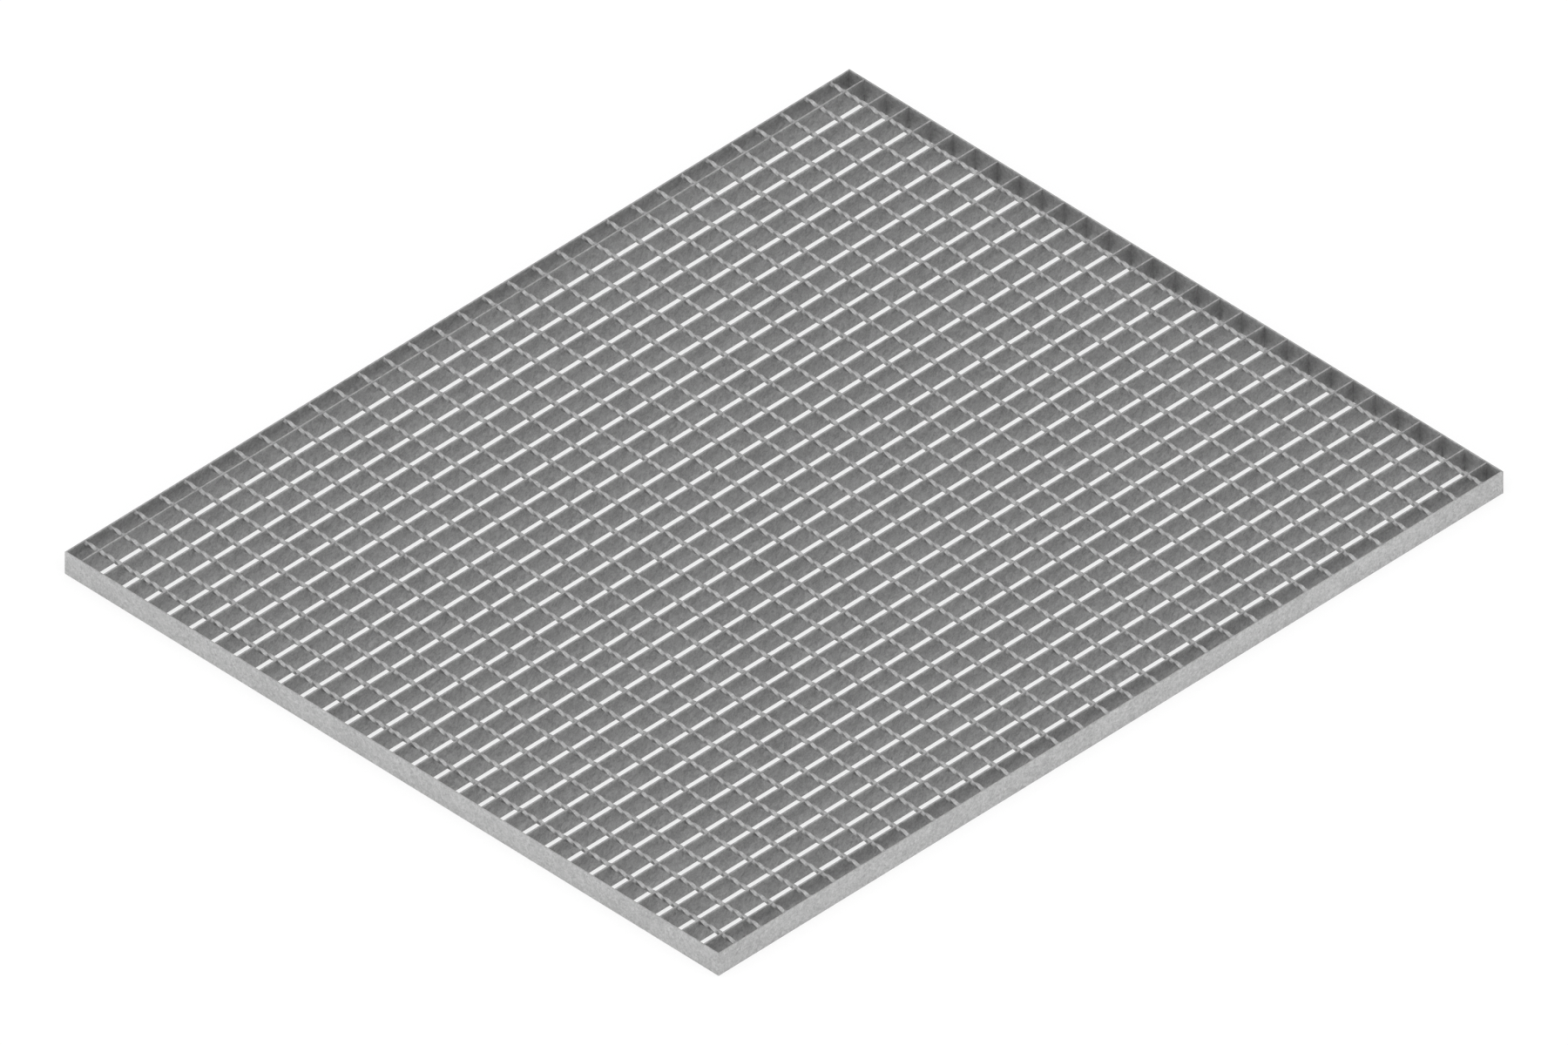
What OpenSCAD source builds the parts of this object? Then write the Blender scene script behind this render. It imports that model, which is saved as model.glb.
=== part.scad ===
// Press-welded steel grating panel: upright bearing bars crossed by twisted rods and closed in by banding.
// X runs along the bearing bars, Y along the cross bars, Z up.
// The origin is the middle of the underside.

/* [Panel] */
// Length of the panel, along the bearing bars
panel_length = 1200; // [400:1:1800]
// Width of the panel, along the cross bars
panel_width = 1000; // [400:1:1500]
// Least clear gap between the banding and the first bar beside it
edge_gap_min = 10; // [4:1:15]

/* [Bearing bars] */
// Depth of the flat bars, which is the depth of the whole panel
bearing_depth = 30; // [20:1:60]
// Thickness of a bearing bar
bearing_t = 2; // [2:0.5:6]
// Pitch of the bearing bars, centre to centre
bearing_pitch = 34; // [25:0.5:70]

/* [Cross bars] */
// Side of the square rod that a cross bar is twisted from
rod_side = 4.5; // [3:0.5:8]
// Radius of the rod's rolled corners
rod_corner_r = 0.5; // [0.1:0.1:1]
// Pitch of the cross bars, centre to centre
cross_pitch = 38; // [25:0.5:110]

/* [Banding] */
// Thickness of the flat bars around the edge
banding_t = 2; // [2:0.5:6]

/* [Hidden] */

// Faces of a plain rod of the twisted one's weight
rod_faces = 8;
// Parts that the welded mesh is divided into, across the bearing bars
section_count = 3;

inner_length = panel_length - 2 * banding_t;
inner_width = panel_width - 2 * banding_t;

// A regular prism across its flats, with the square rod's area
rod_across = rod_side * sqrt(4 / (rod_faces * tan(180 / rod_faces)));
// Half the square rod's diagonal, over its rolled corners: what a turning corner sweeps
rod_reach = rod_side / sqrt(2) - rod_corner_r * (sqrt(2) - 1);
// The rod's corners come level with the tops of the bearing bars it is pressed into
rod_z = bearing_depth - rod_reach;

bearing_count = bars_that_fit(inner_width, bearing_t, bearing_pitch);
cross_count = bars_that_fit(inner_length, 2 * rod_reach, cross_pitch);

// How many bars go into a clear width, with at least the least gap left at both ends
function bars_that_fit(clear_width, bar_width, pitch) =
    floor((clear_width - bar_width - 2 * edge_gap_min) / pitch) + 1;

// Place of a bar in a row that is centred on the origin
function bar_place(index, count, pitch) = (index - (count - 1) / 2) * pitch;

// First bearing bar of a mesh section, and one past the last section's last bar
function section_start(section) = round(section * bearing_count / section_count);

// Edge of a mesh section: halfway between two bearing bars, or the banding's inner face
function section_edge(section) =
    section == 0 ? -inner_width / 2 :
    section == section_count ? inner_width / 2 :
    bar_place(section_start(section) - 0.5, bearing_count, bearing_pitch);

// An upright flat bar along X, standing on the floor and centred on Y
module flat_bar(length, thickness) {
    translate([-length / 2, -thickness / 2, 0])
        cube([length, thickness, bearing_depth]);
}

// A straight rod along Y between two places
module rod(from_y, to_y) {
    translate([0, from_y, rod_z])
        rotate([-90, 180 / rod_faces, 0])
            cylinder(h = to_y - from_y, d = rod_across / cos(180 / rod_faces), $fn = rod_faces);
}

// One stretch of the welded mesh: its bearing bars, fused with every cross bar where they cross
module mesh_section(section) {
    color("silver")
    union() {
        for (i = [section_start(section) : section_start(section + 1) - 1])
            translate([0, bar_place(i, bearing_count, bearing_pitch), 0])
                flat_bar(inner_length, bearing_t);
        for (i = [0 : cross_count - 1])
            translate([bar_place(i, cross_count, cross_pitch), 0, 0])
                rod(section_edge(section), section_edge(section + 1));
    }
}

// The end banding covers the ends of the bearing bars and of the side banding
module end_banding(side) {
    color("darkgray")
        translate([side * (panel_length - banding_t) / 2, 0, 0])
            rotate([0, 0, 90])
                flat_bar(panel_width, banding_t);
}

// The side banding closes the ends of the cross bars, between the two end bandings
module side_banding(side) {
    color("darkgray")
        translate([0, side * (panel_width - banding_t) / 2, 0])
            flat_bar(inner_length, banding_t);
}

module mesh_section_1() { mesh_section(0); }
module mesh_section_2() { mesh_section(1); }
module mesh_section_3() { mesh_section(2); }
module end_banding_left() { end_banding(-1); }
module end_banding_right() { end_banding(1); }
module side_banding_near() { side_banding(-1); }
module side_banding_far() { side_banding(1); }

mesh_section_1();
mesh_section_2();
mesh_section_3();
end_banding_left();
end_banding_right();
side_banding_near();
side_banding_far();
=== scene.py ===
import math
import bpy
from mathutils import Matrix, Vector


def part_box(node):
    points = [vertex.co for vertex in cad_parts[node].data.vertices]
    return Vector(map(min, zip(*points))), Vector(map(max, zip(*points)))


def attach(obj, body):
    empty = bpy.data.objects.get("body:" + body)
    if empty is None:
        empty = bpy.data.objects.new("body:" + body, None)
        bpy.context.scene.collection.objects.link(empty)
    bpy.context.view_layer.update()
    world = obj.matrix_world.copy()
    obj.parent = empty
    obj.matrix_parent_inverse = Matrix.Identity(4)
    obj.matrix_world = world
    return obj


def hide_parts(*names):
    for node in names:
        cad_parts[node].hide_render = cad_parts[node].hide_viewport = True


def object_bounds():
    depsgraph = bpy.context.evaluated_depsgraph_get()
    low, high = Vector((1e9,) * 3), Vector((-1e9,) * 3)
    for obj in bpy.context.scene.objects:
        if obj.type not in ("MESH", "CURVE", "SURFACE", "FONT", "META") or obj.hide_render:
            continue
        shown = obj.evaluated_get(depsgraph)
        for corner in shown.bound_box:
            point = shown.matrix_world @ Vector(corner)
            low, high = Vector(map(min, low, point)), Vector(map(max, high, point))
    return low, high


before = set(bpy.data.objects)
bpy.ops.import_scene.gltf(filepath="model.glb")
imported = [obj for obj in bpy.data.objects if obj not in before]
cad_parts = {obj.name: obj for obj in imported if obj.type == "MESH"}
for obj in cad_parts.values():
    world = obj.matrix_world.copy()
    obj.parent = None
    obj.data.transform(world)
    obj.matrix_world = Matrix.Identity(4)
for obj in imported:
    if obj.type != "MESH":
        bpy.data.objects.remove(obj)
cadLow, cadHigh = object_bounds()
print("frame loaded:", ", ".join(sorted(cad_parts)))

mm = 0.001   # lengths are in metres
panelLength, panelWidth, panelDepth = cadHigh - cadLow
endLow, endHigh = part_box("end_banding_left")
bandingThickness = endHigh.x - endLow.x
meshNodes = [name for name in sorted(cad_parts) if name.startswith("mesh_section")]


def linearColour(hexText):
    # sRGB hex to the linear colour that a socket takes
    channels = [int(hexText[i:i + 2], 16) / 255 for i in (1, 3, 5)]
    return [c / 12.92 if c <= 0.04045 else ((c + 0.055) / 1.055) ** 2.4 for c in channels] + [1.0]


def addNode(tree, kind, settings=None, values=None, links=None):
    node = tree.nodes.new(kind)
    for key, value in (settings or {}).items():
        setattr(node, key, value)
    for key, value in (values or {}).items():
        node.inputs[key].default_value = value
    for key, socket in (links or {}).items():
        tree.links.new(socket, node.inputs[key])
    return node


def perMetre(sizeMm):
    # a texture scale whose features are this many millimetres across
    return 1000 / sizeMm


# Materials

zincMottle = {
    # how much of the mottle is fine speckle, flat crystals and soft clouds
    "speckle": 0.72, "flakes": 0.14, "clouds": 0.14,
    "spread": (0.34, 0.66),   # the values of the mottle that get the dark and the light tone
}
# speckleMm, flakeMm and cloudMm are how far across the speckle, the crystals and the clouds are.
# A much finer speckle would fade away in a view of the whole panel, so it is drawn this coarse.
# the real zinc tone, set lighter than the bearing bars' as painted light on the banding's lit outer faces
litBandingSteel = {
    "name": "hot-dip galvanised steel, flat banding",
    "dark": "#A8A8A8", "light": "#C9C9C9",
    "speckleMm": 2.2, "flakeMm": 4, "cloudMm": 45,
    "roughness": (0.56, 0.68), "bumpMm": 0.05, "metallic": 1,
}
# the real zinc tone, set darker than the banding's as painted shade for the faces down in the cells
shadedBarSteel = {
    "name": "hot-dip galvanised steel, bearing bars",
    "dark": "#989898", "light": "#BCBCBC",
    "speckleMm": 2.4, "flakeMm": 5, "cloudMm": 60,
    "roughness": (0.56, 0.68), "bumpMm": 0.05, "metallic": 1,
}
# the real zinc tone, set a little lighter than the bearing bars' as painted light on the rods' lit facets
rodSteel = {
    "name": "hot-dip galvanised steel, twisted rods",
    "dark": "#A1A1A1", "light": "#C3C3C3",
    "speckleMm": 2.2, "flakeMm": 4, "cloudMm": 40,
    "roughness": (0.44, 0.56), "bumpMm": 0.03, "metallic": 1,
}


def galvanisedSteel(look):
    # zinc that froze on the steel: a dull, rough metal, finely speckled over faint flat crystals
    material = bpy.data.materials.new(look["name"])
    material.use_nodes = True
    tree = material.node_tree
    tree.nodes.clear()
    place = addNode(tree, "ShaderNodeTexCoord").outputs["Object"]
    speckle = addNode(tree, "ShaderNodeTexNoise",
                      values={"Scale": perMetre(look["speckleMm"]), "Detail": 3, "Roughness": 0.6,
                              "Distortion": 0.6}, links={"Vector": place})
    cloud = addNode(tree, "ShaderNodeTexNoise",
                    values={"Scale": perMetre(look["cloudMm"]), "Detail": 2, "Roughness": 0.5},
                    links={"Vector": place})
    # the crystals' borders wander by part of a crystal's width
    wander = addNode(tree, "ShaderNodeVectorMath", {"operation": "MULTIPLY_ADD"},
                     {1: (look["flakeMm"] * mm,) * 3}, {0: speckle.outputs["Color"], 2: place})
    flakes = addNode(tree, "ShaderNodeTexVoronoi", values={"Scale": perMetre(look["flakeMm"])},
                     links={"Vector": wander.outputs[0]})
    flake = addNode(tree, "ShaderNodeSeparateColor", links={0: flakes.outputs["Color"]})
    # speckle, crystals and clouds, weighed by how much each shows
    mottle = addNode(tree, "ShaderNodeMath", {"operation": "MULTIPLY"}, {1: zincMottle["speckle"]},
                     {0: speckle.outputs["Fac"]})
    for share, source in (("flakes", flake.outputs["Red"]), ("clouds", cloud.outputs["Fac"])):
        mottle = addNode(tree, "ShaderNodeMath", {"operation": "MULTIPLY_ADD"}, {1: zincMottle[share]},
                         {0: source, 2: mottle.outputs[0]})
    low, high = zincMottle["spread"]
    spread = addNode(tree, "ShaderNodeMapRange",
                     values={"From Min": low, "From Max": high}, links={"Value": mottle.outputs[0]})
    # inputs 6 and 7 are the two colours that are mixed
    tone = addNode(tree, "ShaderNodeMix", {"data_type": "RGBA"},
                   {6: linearColour(look["dark"]), 7: linearColour(look["light"])},
                   {0: spread.outputs["Result"]})
    dullness = addNode(tree, "ShaderNodeMapRange",
                       values={"To Min": look["roughness"][0], "To Max": look["roughness"][1]},
                       links={"Value": flake.outputs["Green"]})
    bump = addNode(tree, "ShaderNodeBump", values={"Strength": 1, "Distance": look["bumpMm"] * mm},
                   links={"Height": speckle.outputs["Fac"]})
    surface = addNode(tree, "ShaderNodeBsdfPrincipled", values={"Metallic": look["metallic"]},
                      links={"Base Color": tone.outputs[2], "Roughness": dullness.outputs["Result"],
                             "Normal": bump.outputs["Normal"]})
    addNode(tree, "ShaderNodeOutputMaterial", links={"Surface": surface.outputs[0]})
    return material


litBandingMaterial = galvanisedSteel(litBandingSteel)
shadedBarMaterial = galvanisedSteel(shadedBarSteel)
rodMaterial = galvanisedSteel(rodSteel)
print("materials made")


# Geometry Nodes helpers

sharpAngle = math.radians(20)   # edges that turn by more stay sharp, which keeps the flat faces flat


def newTree(name, inputs):
    # a geometry tree with named inputs, and the node that hands them out
    tree = bpy.data.node_groups.new(name, "GeometryNodeTree")
    tree.interface.new_socket("Geometry", in_out="OUTPUT", socket_type="NodeSocketGeometry")
    for label, kind in inputs.items():
        tree.interface.new_socket(label, in_out="INPUT", socket_type="NodeSocket" + kind)
    return tree, addNode(tree, "NodeGroupInput").outputs


def sweptBar(tree, path, width, height, radius, steps):
    # a rectangle with rolled corners, swept along a level path with its height upright
    outline = addNode(tree, "GeometryNodeCurvePrimitiveQuadrilateral",
                      links={"Width": width, "Height": height})
    rolled = addNode(tree, "GeometryNodeFilletCurve", {"mode": "POLY"},
                     links={"Curve": outline.outputs[0], "Count": steps, "Radius": radius})
    upright = addNode(tree, "GeometryNodeSetCurveNormal", {"mode": "Z_UP"}, links={"Curve": path})
    bar = addNode(tree, "GeometryNodeCurveToMesh", values={"Fill Caps": True},
                  links={"Curve": upright.outputs[0], "Profile Curve": rolled.outputs[0]})
    return bar.outputs[0]


def finishTree(tree, bar, given):
    # repeats the bar along a row and makes the copies real
    points = addNode(tree, "GeometryNodeMeshLine",
                     links={"Count": given["Count"], "Offset": given["Step"]})
    row = addNode(tree, "GeometryNodeInstanceOnPoints",
                  links={"Points": points.outputs[0], "Instance": bar})
    real = addNode(tree, "GeometryNodeRealizeInstances", links={0: row.outputs[0]})
    painted = addNode(tree, "GeometryNodeSetMaterial",
                      links={"Geometry": real.outputs[0], "Material": given["Material"]})
    addNode(tree, "NodeGroupOutput", links={0: painted.outputs[0]})


def runTree(name, tree, values):
    # a plain mesh object from a tree and the values of its named inputs
    holder = bpy.data.objects.new(name + "_holder", bpy.data.meshes.new(name + "_holder"))
    bpy.context.collection.objects.link(holder)
    modifier = holder.modifiers.new("build", "NODES")
    modifier.node_group = tree
    for item in tree.interface.items_tree:
        if item.in_out == "INPUT":
            modifier[item.identifier] = values[item.name]
    evaluated = holder.evaluated_get(bpy.context.evaluated_depsgraph_get())
    mesh = bpy.data.meshes.new_from_object(evaluated)
    holder.modifiers.clear()
    bpy.data.objects.remove(holder)
    mesh.name = name
    mesh.set_sharp_from_angle(angle=sharpAngle)
    piece = bpy.data.objects.new(name, mesh)
    bpy.context.collection.objects.link(piece)
    print(name, "has", sum(len(face.vertices) - 2 for face in mesh.polygons), "triangles")
    return piece


def settle(piece, slot, *nodes):
    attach(piece, "root")
    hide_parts(*nodes)


# Flat bars: bearing bars and banding

def flatBarTree():
    tree, given = newTree("flatBarRow", {
        "From": "Vector", "To": "Vector", "Thickness": "Float", "Depth": "Float",
        "Edge Radius": "Float", "Edge Steps": "Int", "Count": "Int", "Step": "Vector",
        "Material": "Material"})
    path = addNode(tree, "GeometryNodeCurvePrimitiveLine",
                   links={"Start": given["From"], "End": given["To"]})
    bar = sweptBar(tree, path.outputs[0], given["Thickness"], given["Depth"],
                   given["Edge Radius"], given["Edge Steps"])
    finishTree(tree, bar, given)
    return tree


flatBars = flatBarTree()

bearingBars = {
    "count": 29, "pitch": 34 * mm, "thickness": 2 * mm,
    "edgeRadius": 0.3 * mm, "edgeSteps": 3,
}
banding = {
    "edgeRadius": 0.3 * mm, "edgeSteps": 3,
    # two of the bars, whose inner faces are seen down in the shaded edge cells, get the bearing bars'
    # darker steel as painted shade
    "zinc": {"end_banding_left": litBandingMaterial, "end_banding_right": shadedBarMaterial,
             "side_banding_near": litBandingMaterial, "side_banding_far": shadedBarMaterial},
}

midHeight = panelDepth / 2
barReach = panelLength / 2 - bandingThickness
firstBar = -(bearingBars["count"] - 1) / 2 * bearingBars["pitch"]
bars = runTree("bearing_bars", flatBars, {
    "From": (-barReach, firstBar, midHeight), "To": (barReach, firstBar, midHeight),
    "Thickness": bearingBars["thickness"], "Depth": panelDepth,
    "Edge Radius": bearingBars["edgeRadius"], "Edge Steps": bearingBars["edgeSteps"],
    "Count": bearingBars["count"], "Step": (0, bearingBars["pitch"], 0), "Material": shadedBarMaterial})
settle(bars, "mesh_steel", *meshNodes)


def bandingBar(node, zinc):
    low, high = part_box(node)
    middle, size = (low + high) / 2, high - low
    along = Vector((size.x / 2, 0, 0)) if size.x > size.y else Vector((0, size.y / 2, 0))
    bar = runTree(node + "_bar", flatBars, {
        "From": middle - along, "To": middle + along,
        "Thickness": min(size.x, size.y), "Depth": size.z,
        "Edge Radius": banding["edgeRadius"], "Edge Steps": banding["edgeSteps"],
        "Count": 1, "Step": (0, 0, 0), "Material": zinc})
    settle(bar, "banding_steel", node)


for name, zinc in banding["zinc"].items():
    bandingBar(name, zinc)
print("flat bars made")


# Cross bars: square rods, twisted

twistedRods = {
    "pitch": 38 * mm, "side": 4.5 * mm, "cornerRadius": 0.5 * mm, "cornerSteps": 2,
    "turnLength": 55 * mm,   # length of one full turn, right-handed
    "firstCorner": 0.95 * mm,   # from the far banding's inner face to the first corner that points up
    "ringsPerTurn": 24,
    "groups": {"left": 10, "middle": 11, "right": 10},   # how many rods each piece has
}


def twistedRodTree():
    tree, given = newTree("twistedRodRow", {
        "From": "Vector", "To": "Vector", "Side": "Float", "Corner Radius": "Float",
        "Corner Steps": "Int", "Rings": "Int", "Turn Length": "Float", "First Corner": "Float",
        "Count": "Int", "Step": "Vector", "Material": "Material"})
    path = addNode(tree, "GeometryNodeCurvePrimitiveLine",
                   links={"Start": given["From"], "End": given["To"]})
    rings = addNode(tree, "GeometryNodeResampleCurve",
                    links={"Curve": path.outputs[0], "Count": given["Rings"]})
    rod = sweptBar(tree, rings.outputs[0], given["Side"], given["Side"],
                   given["Corner Radius"], given["Corner Steps"])
    # each ring turns about the rod's axis by its distance from the first raised corner, and by an
    # eighth of a turn more, which brings a corner up there
    span = addNode(tree, "ShaderNodeVectorMath", {"operation": "SUBTRACT"},
                   links={0: given["From"], 1: given["To"]})
    axis = addNode(tree, "ShaderNodeVectorMath", {"operation": "NORMALIZE"}, links={0: span.outputs[0]})
    place = addNode(tree, "GeometryNodeInputPosition")
    offset = addNode(tree, "ShaderNodeVectorMath", {"operation": "SUBTRACT"},
                     links={0: place.outputs[0], 1: given["To"]})
    along = addNode(tree, "ShaderNodeVectorMath", {"operation": "DOT_PRODUCT"},
                    links={0: offset.outputs[0], 1: axis.outputs[0]})
    fromCorner = addNode(tree, "ShaderNodeMath", {"operation": "SUBTRACT"},
                         links={0: along.outputs["Value"], 1: given["First Corner"]})
    turns = addNode(tree, "ShaderNodeMath", {"operation": "DIVIDE"},
                    links={0: fromCorner.outputs[0], 1: given["Turn Length"]})
    angle = addNode(tree, "ShaderNodeMath", {"operation": "MULTIPLY_ADD"},
                    {1: math.tau, 2: math.pi / 4}, {0: turns.outputs[0]})
    turned = addNode(tree, "ShaderNodeVectorRotate", {"rotation_type": "AXIS_ANGLE"},
                     links={"Vector": place.outputs[0], "Center": given["To"],
                            "Axis": axis.outputs[0], "Angle": angle.outputs[0]})
    twisted = addNode(tree, "GeometryNodeSetPosition",
                      links={"Geometry": rod, "Position": turned.outputs[0]})
    finishTree(tree, twisted.outputs[0], given)
    return tree


rodTree = twistedRodTree()
rodReach = panelWidth / 2 - bandingThickness
rodSide, rodCorner = twistedRods["side"], twistedRods["cornerRadius"]
cornerReach = rodSide / math.sqrt(2) - rodCorner * (math.sqrt(2) - 1)
rodHeight = panelDepth - cornerReach
ringCount = round(2 * rodReach / twistedRods["turnLength"] * twistedRods["ringsPerTurn"]) + 1
rodCount = sum(twistedRods["groups"].values())
rodX = -(rodCount - 1) / 2 * twistedRods["pitch"]
for group, count in twistedRods["groups"].items():
    rods = runTree("twisted_rods_" + group, rodTree, {
        "From": (rodX, -rodReach, rodHeight), "To": (rodX, rodReach, rodHeight),
        "Side": rodSide, "Corner Radius": rodCorner, "Corner Steps": twistedRods["cornerSteps"],
        "Rings": ringCount, "Turn Length": twistedRods["turnLength"],
        "First Corner": twistedRods["firstCorner"],
        "Count": count, "Step": (twistedRods["pitch"], 0, 0), "Material": rodMaterial})
    settle(rods, "mesh_steel", *meshNodes)
    rodX += count * twistedRods["pitch"]
print("twisted rods made")


# Studio

studio = {
    "floorSize": 30, "floorDrop": 0.05 * mm, "floorColour": "#FFFFFF",
    # how much of the floor's shading the camera sees, and how much of the floor's and the sky's
    # own shading shows in reflections
    "floorSeen": 0.28, "floorReflected": 0.55, "skyReflected": 0.85,
    # brightness of the sky by the sine of its height: soft light that grows upwards, over a low glow
    "sky": [(0.0, 1.9), (0.1, 1.65), (0.25, 0.92), (0.6, 0.97), (0.8, 1.15), (1.0, 1.3)],
    "skyLean": (-0.5, -0.5, 0.0),   # the side on which the low sky is brighter, and by what share
}


def plainShare(tree, seen, reflected):
    # the share of plain white: for the camera, for what is reflected or refracted, and else none
    rays = addNode(tree, "ShaderNodeLightPath").outputs
    mirrored = addNode(tree, "ShaderNodeMath", {"operation": "MAXIMUM"},
                       links={0: rays["Is Glossy Ray"], 1: rays["Is Transmission Ray"]})
    share = addNode(tree, "ShaderNodeMath", {"operation": "MULTIPLY"}, {1: 1 - reflected},
                    {0: mirrored.outputs[0]})
    share = addNode(tree, "ShaderNodeMath", {"operation": "MULTIPLY_ADD"}, {1: 1 - seen},
                    {0: rays["Is Camera Ray"], 2: share.outputs[0]})
    return share.outputs[0]


def makeFloor():
    half = studio["floorSize"] / 2
    mesh = bpy.data.meshes.new("floor")
    corners = [(-half, -half), (half, -half), (half, half), (-half, half)]
    mesh.from_pydata([(x, y, -studio["floorDrop"]) for x, y in corners], [], [(0, 1, 2, 3)])
    floor = bpy.data.objects.new("floor", mesh)
    bpy.context.collection.objects.link(floor)
    material = bpy.data.materials.new("white studio floor")
    material.use_nodes = True
    tree = material.node_tree
    tree.nodes.clear()
    shaded = addNode(tree, "ShaderNodeBsdfDiffuse", values={"Color": linearColour(studio["floorColour"])})
    white = addNode(tree, "ShaderNodeEmission", values={"Color": (1, 1, 1, 1), "Strength": 1})
    surface = addNode(tree, "ShaderNodeMixShader",
                      links={0: plainShare(tree, studio["floorSeen"], studio["floorReflected"]),
                             1: shaded.outputs[0], 2: white.outputs[0]})
    addNode(tree, "ShaderNodeOutputMaterial", links={"Surface": surface.outputs[0]})
    mesh.materials.append(material)


def makeSky():
    brightest = max(strength for place, strength in studio["sky"])
    world = bpy.data.worlds.new("white studio")
    world.use_nodes = True
    tree = world.node_tree
    tree.nodes.clear()
    white = addNode(tree, "ShaderNodeBackground", values={"Color": (1, 1, 1, 1), "Strength": 1})
    direction = addNode(tree, "ShaderNodeTexCoord").outputs["Generated"]
    height = addNode(tree, "ShaderNodeSeparateXYZ", links={0: direction}).outputs["Z"]
    ramp = addNode(tree, "ShaderNodeValToRGB", links={"Fac": height})
    stops = ramp.color_ramp.elements
    while len(stops) < len(studio["sky"]):
        stops.new(1)
    for stop, (place, strength) in zip(stops, studio["sky"]):
        stop.position = place
        stop.color = [strength / brightest] * 3 + [1]
    # one side of the sky is brighter, less so with height
    lean = addNode(tree, "ShaderNodeVectorMath", {"operation": "DOT_PRODUCT"}, {1: studio["skyLean"]},
                   {0: direction})
    low = addNode(tree, "ShaderNodeMath", {"operation": "SUBTRACT"}, {0: 1}, {1: height})
    lean = addNode(tree, "ShaderNodeMath", {"operation": "MULTIPLY"},
                   links={0: lean.outputs["Value"], 1: low.outputs[0]})
    strength = addNode(tree, "ShaderNodeMath", {"operation": "MULTIPLY_ADD"},
                       {1: brightest, 2: brightest}, {0: lean.outputs[0]})
    soft = addNode(tree, "ShaderNodeBackground",
                   links={"Color": ramp.outputs["Color"], "Strength": strength.outputs[0]})
    surface = addNode(tree, "ShaderNodeMixShader",
                      links={0: plainShare(tree, 0, studio["skyReflected"]),
                             1: soft.outputs[0], 2: white.outputs[0]})
    addNode(tree, "ShaderNodeOutputWorld", links={"Surface": surface.outputs[0]})
    bpy.context.scene.world = world


makeFloor()
makeSky()

# angles in degrees, lengths in metres
view = {"azimuth": -45, "elevation": 38, "distance": 6, "frameWidth": 1.6957, "farClip": 100}


def makeCamera():
    turn, rise = math.radians(view["azimuth"]), math.radians(view["elevation"])
    back = Vector((math.sin(turn) * math.cos(rise), -math.cos(turn) * math.cos(rise), math.sin(rise)))
    data = bpy.data.cameras.new("camera")
    data.type = "ORTHO"
    data.ortho_scale = view["frameWidth"]
    data.clip_end = view["farClip"]
    camera = bpy.data.objects.new("camera", data)
    camera.location = (cadLow + cadHigh) / 2 + back * view["distance"]
    camera.rotation_euler = back.to_track_quat("Z", "Y").to_euler()
    bpy.context.collection.objects.link(camera)
    bpy.context.scene.camera = camera


makeCamera()
bpy.context.scene.view_settings.view_transform = "Standard"
print("studio made")
